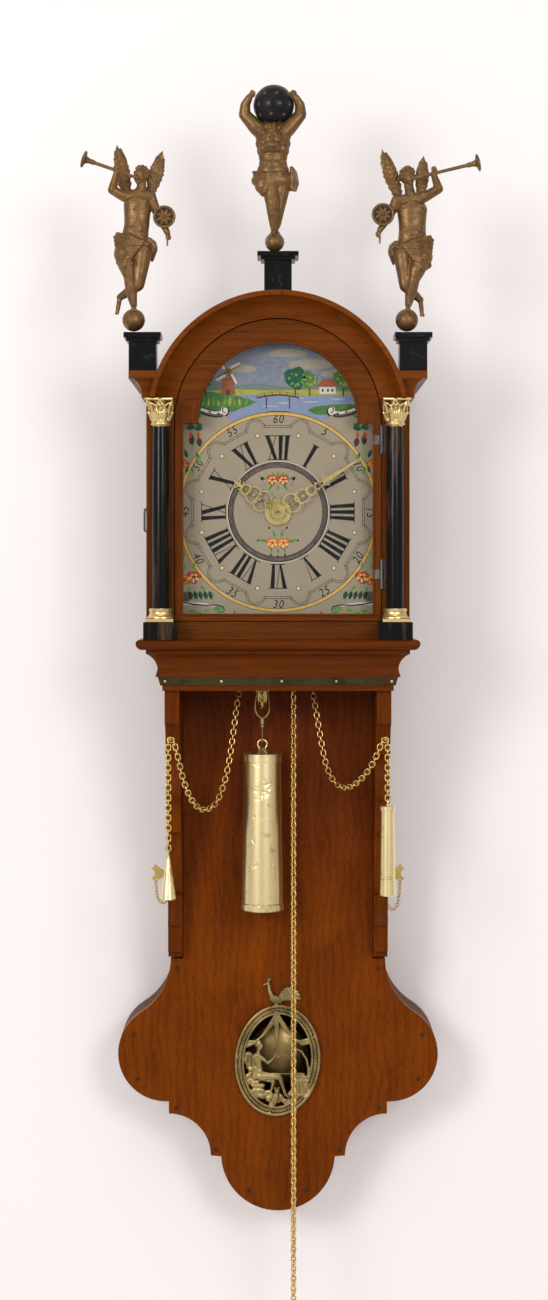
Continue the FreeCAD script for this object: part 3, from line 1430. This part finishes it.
def build_bell():
    wall, tall, r = D.bell_wall, D.bell_tall, D.bell_r
    shell = [
        (r - wall, 0, (r * 1.1, -1)),
        (r * 0.55, tall - wall, None),
        (1.6, tall - wall, None),
        (1.6, tall, None),
        (r * 0.6, tall, (r * 1.1, 1)),
        (r, 0, None),
    ]
    dome = turn("bell_dome", shell, 0, D.bell_d, D.bell_h)
    top = D.high_plate_h + D.plate_thick
    stem_tall = D.bell_h + tall - top
    stem = [
        (0, 0), (5, 0), (5, 2), (3, 3), (3, stem_tall - wall), (1.55, stem_tall - wall), (1.55, stem_tall),
        (1.55, stem_tall + 3), (0, stem_tall + 3),
    ]
    node("bell", [dome, turn("bell_stem", stem[:6] + stem[7:], 0, D.bell_d, top)])
    hub = D.hammer_d - 6
    rise = (D.bell_h + 4 - D.hammer_h).value
    shape = fused([
        disc(4.5, hub.value, hub.value + 5),
        limb((2, 2, hub.value + 2.5), (15, rise, hub.value + 2.5), 1.5, 1.5),
        limb((15, rise, hub.value + 2.5), (15, rise, D.bell_d.value - 8), 1.5, 1.5),
        Part.makeCylinder(4.2, 11, Vector(10, rise, D.bell_d.value - 4), Vector(1, 0, 0)),
        limb((15, rise, D.bell_d.value - 8), (15, rise, D.bell_d.value - 4), 1.5, 1.6),
        limb((-2, -2, hub.value + 2.5), (-10, -12, hub.value + 2.5), 1.4, 1.2),
    ]).cut(disc(1.55, hub.value - 1, hub.value + 6))
    node("hammer", [formed("hammer_set", facing([shape], D.hammer_x.value, D.hammer_h))])


def build_dial():
    half, r = D.dial_half, D.dial_arch_r
    plate = [
        (-half, up(D.dial_low), None),
        (half, up(D.dial_low), None),
        (half, up(D.arch_h), None),
        (r, up(D.arch_h), (r, -1)),
        (0, up(D.arch_h + r), (r, -1)),
        (-r, up(D.arch_h), None),
        (-half, up(D.arch_h), None),
    ]
    hole = ("circle", sized(0), up(D.dial_h), D.dial_hole)
    pieces = [pad("dial", "XZ_Plane", D.dial_back, D.dial_thick, [plate, hole])]
    start = D.post_front + D.post_r + 0.2
    for i, x in enumerate((-D.post_x, D.post_x)):
        for j, h in enumerate((D.foot_low_h, D.foot_high_h)):
            pieces.append(
                rod("dial_foot_%d_%d" % (i, j), D.dial_foot_r, D.dial_back - start, x, start, h, FRONT)
            )
    node("dial_plate", [join("dial_with_feet", pieces)])

    gap = D.run_gap.value
    stud, cannon, pipe = D.stud_r.value, D.cannon_r.value, D.pipe_r.value
    at, thick = D.motion_d.value, 2.0
    teeth, module = D.motion_teeth.value, D.motion_module.value
    far = D.minute_hand_d.value + D.hand_thick.value
    first = fused([
        toothed(teeth, module, WHEEL_SHARE, 270, stud + gap, 4, at, thick),
        disc(cannon, at, far + 1.6, stud + gap),
    ])
    hand = hand_shape(
        D.minute_long.value, 360 - D.minute_turn.value + 90, cannon + 0.02, D.minute_hand_d.value, True,
    )
    node("minute_hand", [formed("minute_set", facing([first, hand], 0, D.dial_h))])

    ratio = D.motion_teeth.value * D.motion_module.value * 2 / (D.hour_teeth.value + D.hour_leaves.value)
    hour_at = D.hour_wheel_d.value
    spur = fused([
        toothed(teeth, module, LEAF_SHARE, 90 + 180 / teeth, 1.4 + 0.02, 4, at, thick),
        toothed(
            D.hour_leaves.value, ratio, LEAF_SHARE, 90 + 180 / D.hour_leaves.value, 1.42, 0,
            at + thick - 0.1, hour_at + 2 - at - thick + 0.1,
        ),
    ])
    node("drive_wheel", [formed("drive_set", facing([spur], 0, GREAT_H))])

    wheel = fused([
        toothed(D.hour_teeth.value, ratio, WHEEL_SHARE, 270, cannon + gap, 4, hour_at, 2.0),
        disc(pipe, hour_at, D.hour_hand_d.value + D.hand_thick.value + 0.6, cannon + gap),
    ])
    hour = hand_shape(
        D.hour_long.value, 360 - D.hour_turn.value + 90, pipe + 0.02, D.hour_hand_d.value, False,
    )
    node("hour_hand", [formed("hour_set", facing([wheel, hour], 0, D.dial_h))])
    disc_at = D.alarm_disc_d.value
    face = disc(D.alarm_r.value, disc_at, disc_at + 1, pipe + gap)
    node("alarm_disc", [formed("alarm_face", facing([face], 0, D.dial_h))])


def hand_shape(long, angle, bore, at, slim):
    """A pierced hand that lies along the angle, with a ring round its pipe."""
    thick = D.hand_thick.value
    wide = 4.6 if slim else 7.5
    blade_line = [
        (2.0, 0), (1.6, 0.25), (wide, 0.36), (1.8, 0.5), (wide * 0.8, 0.62), (1.3, 0.72), (1.1, 0.86),
        (0.2, 1.0),
    ]
    right = [Vector(w, bore + 2 + (long - bore - 2) * s, at) for w, s in blade_line]
    left = [Vector(-p.x, p.y, p.z) for p in reversed(right)]
    pieces = [
        disc(bore + 4, at, at + thick),
        Part.Face(Part.makePolygon(right + left + right[:1])).extrude(Vector(0, 0, thick)),
    ]
    solid = fused(pieces)
    for share, r in ((0.36, wide * 0.5), (0.62, wide * 0.36)):
        spot = Vector(0, bore + 2 + (long - bore - 2) * share, at - 1)
        solid = solid.cut(Part.makeCylinder(r, thick + 2, spot))
    solid = solid.cut(disc(bore, at - 1, at + thick + 1))
    solid.rotate(Vector(), Vector(0, 0, 1), angle - 90)
    return solid


def build_pendulum():
    d = D.swing_d
    plate = box("cock_plate", -14, 14, D.back_thick, D.back_thick + 3, ANCHOR_H - 16, ANCHOR_H + 16)
    arm = rod("cock_arm", 4, d - 6 - D.back_thick, 0, D.back_thick, ANCHOR_H, FRONT)
    pin = rod("cock_pin", 2, 14, 0, d - 7, ANCHOR_H, FRONT)
    head = rod("cock_head", 3.6, 1.6, 0, d + 6, ANCHOR_H, FRONT)
    node("pendulum_bracket", [join("cock", [plate, arm, pin, head])])
    eye = rod("rod_eye", D.eye_r, 6, 0, d - 3, ANCHOR_H, FRONT)
    hole = rod("rod_eye_hole", sized(2) + D.run_gap, 10, 0, d - 5, ANCHOR_H, FRONT)
    line = rod("rod_line", D.rod_r, ANCHOR_H - 3 - D.rod_low, 0, d, D.rod_low, UPRIGHT)
    node("pendulum_rod", [cut("rod_set", join("rod_whole", [eye, line]), [hole])])
    half, r = D.bob_thick / 2, D.bob_r
    bow = (r * r + half * half) / (half * 2)
    lens = turn(
        "bob_lens", [(0, -half, (bow, -1)), (r, 0, (bow, -1)), (0, half, None)], 0, d, D.bob_h, FRONT,
    )
    way = rod("bob_way", D.rod_r + D.run_gap, r * 2 + 10, 0, d, D.bob_h - r - 5, UPRIGHT)
    nut = turn(
        "rating_nut",
        [(D.rod_r + 0.05, 0), (D.nut_r, 0), (D.nut_r, D.nut_tall), (D.rod_r + 0.05, D.nut_tall)], 0, d,
        D.bob_h - r - D.nut_tall - 0.05,
    )
    node("pendulum_bob", [cut("bob", lens, [way]), nut])


def build_weights():
    x = -SPROCKET_R
    r0, r1, tall = D.weight_top_r, D.weight_low_r, D.weight_tall
    line = [
        (0, -tall, None),
        (r1 - 1, -tall, None),
        (r1, -tall + 1, None),
        (r1, -tall + 7, None),
        (r1 - 0.8, -tall + 8, None),
        (r0, -9, None),
        (r0 + 0.6, -8, None),
        (r0 + 0.6, 0, None),
        (r0 - 1, 0.8, (40, 1)),
        (4, 6, None),
        (0, 6, None),
    ]
    body = turn("weight_body", line, x, D.weight_d, D.weight_h)
    ring_h = D.weight_h + 6 + D.ring_r - D.ring_wire / 2 - 1.0
    ring = doc.addObject("Part::Torus", "weight_ring")
    bind(ring, "Radius1", D.ring_r - D.ring_wire / 2)
    bind(ring, "Radius2", D.ring_wire / 2)
    ring.Placement = Placement(Vector(), FRONT)
    settle(ring, x, D.weight_d, ring_h)
    node("main_weight", [join("weight", [body, ring])])
    ring_top = (ring_h + D.ring_r - D.ring_wire / 2).value

    rim, wide = D.pulley_rim, D.pulley_wide / 2
    groove = [
        (1.5, -wide - 0.6),
        (rim + 2.4, -wide - 0.6),
        (rim + 2.4, -wide + 0.4),
        (rim, -wide + 0.4),
        (rim, wide - 0.4),
        (rim + 2.4, wide - 0.4),
        (rim + 2.4, wide + 0.6),
        (1.5, wide + 0.6),
    ]
    node("pulley", [turn("pulley_wheel", groove, x, D.weight_d, D.pulley_h, RIGHT)])

    y, z = -D.weight_d.value, up(D.pulley_h).value
    low = up(D.stirrup_low).value
    half, gauge = D.stirrup_half.value, D.stirrup_wire.value / 2
    top_half = 6.0
    bow = wire([
        (x - top_half, y, z + 2),
        (x - top_half - 0.4, y, z - 6),
        (x - half + gauge, y, z - 18),
        (x - half + gauge + 0.8, y, low + 7),
        (x, y, low + gauge),
        (x + half - gauge - 0.8, y, low + 7),
        (x + half - gauge, y, z - 18),
        (x + top_half + 0.4, y, z - 6),
        (x + top_half, y, z + 2),
    ], gauge)
    hook_h = up(ring_top).value
    pull = wire([
        (x, y, low - 6.6),
        (x, y + 1.0, low - 11.4),
        (x, y + 2.3, hook_h + 2.5),
        (x, y + 2.2, hook_h),
        (x, y + 1.5, hook_h - 1.7),
        (x, y, hook_h - 2.3),
        (x, y - 1.5, hook_h - 1.7),
        (x, y - 2.2, hook_h),
        (x, y - 2.6, hook_h + 2.6),
    ], 0.85)
    axle = Part.makeCylinder(1.45, top_half * 2 + 2.4, Vector(x - top_half - 1.2, y, z), Vector(1, 0, 0))
    collar = Part.makeCylinder(2.8, 6, Vector(x, y, low - 5.4))
    knob = Part.makeSphere(2.7, Vector(x, y, low - 7.4))
    node("stirrup", [formed("stirrup_set", fused([bow, axle, collar, knob, pull]))])


def link_solid(pitch, gauge, wide):
    """One long link round its middle, its length along Z and its width along X."""
    bend = (wide - gauge) / 2
    straight = max((pitch + D.link_gap.value + gauge) / 2 - bend, 0.05)
    a, b = Vector(bend, 0, -straight), Vector(bend, 0, straight)
    c, d = Vector(-bend, 0, straight), Vector(-bend, 0, -straight)
    path = Part.Wire([
        Part.LineSegment(a, b).toShape(),
        Part.Arc(b, Vector(0, 0, straight + bend), c).toShape(),
        Part.LineSegment(c, d).toShape(),
        Part.Arc(d, Vector(0, 0, -straight - bend), a).toShape(),
    ])
    ring = Part.Wire(Part.Circle(a, Vector(0, 0, 1), gauge / 2).toShape())
    return path.makePipeShell([ring], True, False)


def hang(link, start, end, across):
    """Sets a link between two joints, its width as near as can be to the way across."""
    way = (end - start).normalize()
    side = (across - way * across.dot(way)).normalize()
    piece = link.copy()
    piece.Placement = Placement((start + end) * 0.5, Rotation(side, way.cross(side), way, "ZXY"))
    return piece


def strung(link, joints, odd_first):
    """Links between joints, by turns square to the view and edge on."""
    links = []
    for i in range(len(joints) - 1):
        way = (joints[i + 1] - joints[i]).normalize()
        flat = Vector(0, 1, 0)
        flat = (flat - way * flat.dot(way)).normalize()
        across = way.cross(flat) if (i % 2 == 0) == odd_first else flat
        links.append(hang(link, joints[i], joints[i + 1], across))
    return links


def even_joints(points, count):
    """Joints spread evenly along a smooth line through the points."""
    curve = Part.BSplineCurve()
    curve.interpolate([Vector(*p) for p in points])
    edge = curve.toShape()
    return [edge.valueAt(edge.getParameterByLength(edge.Length * i / count)) for i in range(count + 1)]


def build_main_chain():
    """The endless chain over both chain wheels, round the pulley and down to the loose loop."""
    r, pitch = SPROCKET_R, D.link_pitch.value
    front, rear = -D.going_chain_d.value, -D.strike_chain_d.value
    bend = (rear - front) / 2
    mid = (rear + front) / 2
    top, low = up(GREAT_H).value, up(D.pulley_h).value
    fixed = 2 * math.pi * r + 2 * math.pi * bend + 2 * (top - low)
    count = 2 * round((fixed + 2 * (top - up(D.loop_h).value)) / (2 * pitch))
    loop = top - (count * pitch - fixed) / 2
    runs = [
        ("wheel", Vector(0, front, top), 90, 180),
        ("line", Vector(-r, front, top), Vector(-r, front, low)),
        ("turn", Vector(-r, mid, low), 180, 360),
        ("line", Vector(-r, rear, low), Vector(-r, rear, top)),
        ("wheel", Vector(0, rear, top), 180, 0),
        ("line", Vector(r, rear, top), Vector(r, rear, loop)),
        ("turn", Vector(r, mid, loop), 360, 180),
        ("line", Vector(r, front, loop), Vector(r, front, top)),
        ("wheel", Vector(0, front, top), 0, 90),
    ]

    def long(run):
        if run[0] == "line":
            return (run[2] - run[1]).Length
        return abs(math.radians(run[3] - run[2])) * (r if run[0] == "wheel" else bend)

    def spot(along):
        along %= count * pitch
        for run in runs:
            if along <= long(run) + 1e-9:
                share = along / long(run)
                if run[0] == "line":
                    return run[1] + (run[2] - run[1]) * share, run[0]
                angle = math.radians(run[2] + (run[3] - run[2]) * share)
                if run[0] == "wheel":
                    return run[1] + Vector(r * math.cos(angle), 0, r * math.sin(angle)), run[0]
                return run[1] + Vector(0, bend * math.cos(angle), bend * math.sin(angle)), run[0]
            along -= long(run)

    link = link_solid(pitch, D.link_wire.value, D.link_wide.value)
    links = []
    for i in range(count):
        start, end = spot((i - 0.5) * pitch)[0], spot((i + 0.5) * pitch)[0]
        kind = spot(i * pitch)[1]
        way = (end - start).normalize()
        even = i % 2 == 0
        if kind == "turn":
            across = way.cross(Vector(1, 0, 0)) if even else Vector(1, 0, 0)
        else:
            across = Vector(0, 1, 0) if even else way.cross(Vector(0, 1, 0))
        links.append(hang(link, start, end, across))
    node("main_chain", [formed("chain_links", Part.makeCompound(links))])
    ring = doc.addObject("Part::Torus", "loop_ring_body")
    bind(ring, "Radius1", D.loop_ring_r)
    ring.Radius2 = 0.8
    ring.Placement = Placement(Vector(r, mid, loop - bend - 1.9), FRONT)
    node("loop_ring", [ring])
    strike_top = math.pi * r / 2 + 2 * (top - low) + math.pi * bend + math.pi * r / 2
    nearest = 2 * round(strike_top / (2 * pitch))
    return 90.0, 90.0 - math.degrees((nearest * pitch - strike_top) / r)


def build_alarm():
    """The alarm chain over its drum, hung up on both consoles, with a cone and a tube at the ends."""
    pitch = D.link_pitch.value
    link = link_solid(pitch, D.link_wire.value, D.link_wide.value)
    d, h = D.hook_d.value, up(D.hook_h).value
    hook_x = D.hook_x.value
    drum = SPROCKET_R
    y, z = -D.alarm_d.value, up(D.alarm_h).value
    base = up(0).value
    rise_left = [
        (-hook_x + pitch / 2, -d, h),
        (-104.5, -d, base - 116),
        (-99, -170, base - 140),
        (-91, -160, base - 164),
        (-80, -146, base - 178),
        (-68, -131, base - 176),
        (-59, -120, base - 160),
        (-50, -108, base - 120),
        (-42, -98, base - 62),
        (-29, -88, base - 8),
    ]
    over = []
    for i in range(9):
        angle = math.radians(190 - 200 * i / 8)
        over.append((drum * math.cos(angle), y, z + drum * math.sin(angle)))
    rise_right = [
        (29, -88, base - 8),
        (38, -98, base - 62),
        (46, -108, base - 110),
        (54, -120, base - 142),
        (64, -132, base - 155),
        (76, -147, base - 154),
        (89, -161, base - 142),
        (99, -170, base - 126),
        (104.5, -d, base - 113),
        (hook_x - pitch / 2, -d, h),
    ]
    line = rise_left + over + rise_right
    curve = Part.BSplineCurve()
    curve.interpolate([Vector(*p) for p in line])
    count = int(round(curve.toShape().Length / pitch))
    count += 1 - count % 2
    joints = even_joints(line, count)
    links = strung(link, joints, False)
    for side in (-1, 1):
        hook_end = [Vector(side * (hook_x - pitch / 2), -d, h), Vector(side * (hook_x + pitch / 2), -d, h)]
        links.append(hang(link, hook_end[0], hook_end[1], Vector(0, 0, 1)))
        stop = up(D.cone_h if side < 0 else D.tube_h).value + 6
        run = int((h - stop) / pitch)
        drop = [Vector(side * (hook_x + pitch / 2), -d, h - pitch * i) for i in range(run + 1)]
        links += strung(link, drop, False)
        hang_ring(side, run, drop[-1])
    node("alarm_chains", [formed("alarm_links", Part.makeCompound(links))])
    wires = []
    for side in (-1, 1):
        x = side * hook_x
        gauge = D.hook_wire.value
        wires.append(formed("hook_%d" % (side + 1), wire([
            (x, -d + 20, h),
            (x, -d + 10, h),
            (x, -d, h),
            (x, -d - 5, h + 0.6),
            (x, -d - 7.5, h + 4),
        ], gauge)))
    node("chain_hooks", wires)


def hang_ring(side, run, last):
    """The cone or the tube, with the eye that takes the last link."""
    edge_on = run % 2 == 1
    eye = Part.makeTorus(2.6, 0.8)
    spin = Rotation(Vector(1, 0, 0), 90) if edge_on else Rotation(Vector(0, 1, 0), 90)
    middle = last - Vector(0, 0, 2.6 - 0.8 + D.link_gap.value / 2 - 0.1)
    eye.Placement = Placement(middle, spin)
    top = middle.z - 2.6
    if side < 0:
        r, tall = D.cone_r.value, D.cone_tall.value
        body = revolved(
            [(0, 0.5), (1.4, 0.5), (1.6, -2), (r, -tall + 1), (r - 0.8, -tall), (0, -tall)], last.x, last.y,
            top,
        )
        node("cone_weight", [formed("cone", fused([eye, body]))])
        return
    r0, r1, tall = D.tube_top_r.value, D.tube_low_r.value, D.tube_tall.value
    line = [(0, 0.5), (1.6, 0.5), (2.4, -1), (r0 + 0.6, -1.5), (r0 + 0.6, -6), (r0 - 0.4, -6.6)]
    line += [
        (r0, -32), (r0 - 0.5, -32.6), (r0 + 0.1, -33.2), (r1 - 0.6, -76), (r1 - 1.0, -76.6),
        (r1 - 0.4, -77.2),
    ]
    line += [(r1, -tall + 1), (r1 - 0.8, -tall), (0, -tall)]
    node("tube_weight", [formed("tube", fused([eye, revolved(line, last.x, last.y, top)]))])


def revolved(line, x, y, z):
    points = [Vector(x + r, y, z + h) for r, h in line]
    return Part.Face(Part.makePolygon(points + points[:1])).revolve(Vector(x, y, z), Vector(0, 0, 1), 360)


def build_pins():
    """The two pins with heart-shaped heads that hold the front board between the consoles."""
    face = D.cheek_in + D.cheek_thick
    tether = link_solid(D.tie_pitch.value, D.tie_wire.value, D.tie_wide.value)
    for side, name in ((-1, "left"), (1, "right")):
        root_x = face + 0.6
        lobe = D.heart_tall / 4
        lobe_x = root_x + D.heart_wide - lobe
        h = D.pin_h
        heart = [
            (root_x, up(h + 1.6), (34, -side)),
            (lobe_x, up(h + lobe * 2), (lobe, -side)),
            (lobe_x + lobe, up(h + lobe), (lobe, -side)),
            (lobe_x, up(h), (lobe, -side)),
            (lobe_x + lobe, up(h - lobe), (lobe, -side)),
            (lobe_x, up(h - lobe * 2), (34, -side)),
            (root_x, up(h - 1.6), None),
        ]
        heart[2] = (lobe_x + lobe, up(h + lobe), (lobe, -side))
        heart = [(x * side, z, arc) for x, z, arc in heart]
        hole = ("circle", (lobe_x - 1) * side, up(h - lobe * 1.2), 1.3)
        plate = pad(
            "heart_%s" % name, "XZ_Plane", D.pin_d - D.heart_thick / 2, D.heart_thick, [heart, hole],
        )
        start = -(root_x + 2) if side < 0 else root_x + 2 - D.pin_long
        shank = rod("pin_%s" % name, D.pin_r, D.pin_long, start, D.pin_d, h, RIGHT)
        node("%s_lock_pin" % name, [join("lock_pin_%s" % name, [plate, shank])])
        drop = 26 if side < 0 else 33
        x, z = (lobe_x - 1).value, up(h - lobe * 1.2).value
        line = [
            (side * x, -D.pin_d.value, z - 1.0),
            (side * (x - 1), -D.pin_d.value, z - drop * 0.6),
            (side * (x - 5), -D.pin_d.value, z - drop + 2),
            (side * (x - 9), -D.pin_d.value, z - drop),
            (side * (face.value + 2.8), -D.pin_d.value, z - drop + 4),
        ]
        curve = Part.BSplineCurve()
        curve.interpolate([Vector(*p) for p in line])
        count = int(curve.toShape().Length / D.tie_pitch.value)
        links = strung(tether, even_joints(line, count), False)
        node("%s_tether" % name, [formed("%s_tether_links" % name, Part.makeCompound(links))])


def build_latch():
    """The wire hook that hangs on the left side of the hood."""
    x = -D.hood_half.value
    y, z = -D.latch_d.value, up(D.latch_h).value
    long = D.latch_long.value
    leg_in = Part.makeCylinder(D.latch_r.value, 13, Vector(x - 3, y, z), Vector(1, 0, 0))
    fall = wire(
        [
            (x - 3, y, z), (x - 3.4, y, z - 6), (x - 3.4, y, z - long + 4), (x - 3.0, y, z - long + 1),
            (x - 1.4, y, z - long),
        ],
        D.latch_r.value,
    )
    knob = Part.makeSphere(D.latch_r.value * 1.06, Vector(x - 3, y, z))
    node("hood_hook", [formed("latch", fused([leg_in, fall, knob]))])


build_tail()
build_shelf()
build_hood()
build_columns()
build_door()
build_stands()
build_figures()
build_window()
build_frame()
spikes = build_main_chain()
build_trains(*spikes)
build_bell()
build_dial()
build_pendulum()
build_weights()
build_alarm()
build_pins()
build_latch()
doc.recompute()

faults = [o.Name for o in doc.Objects if "Invalid" in o.State or "Error" in o.State]
for thing in NODES:
    shape = thing.Shape
    if shape.isNull() or not shape.Solids or not all(s.isValid() for s in shape.Solids[:30]):
        faults.append(thing.Label)
if faults:
    raise RuntimeError("these pieces did not build: " + ", ".join(sorted(set(faults))))

os.makedirs("parts", exist_ok=True)
for thing in NODES:
    thing.Shape.exportStep("parts/" + thing.Label + ".step")
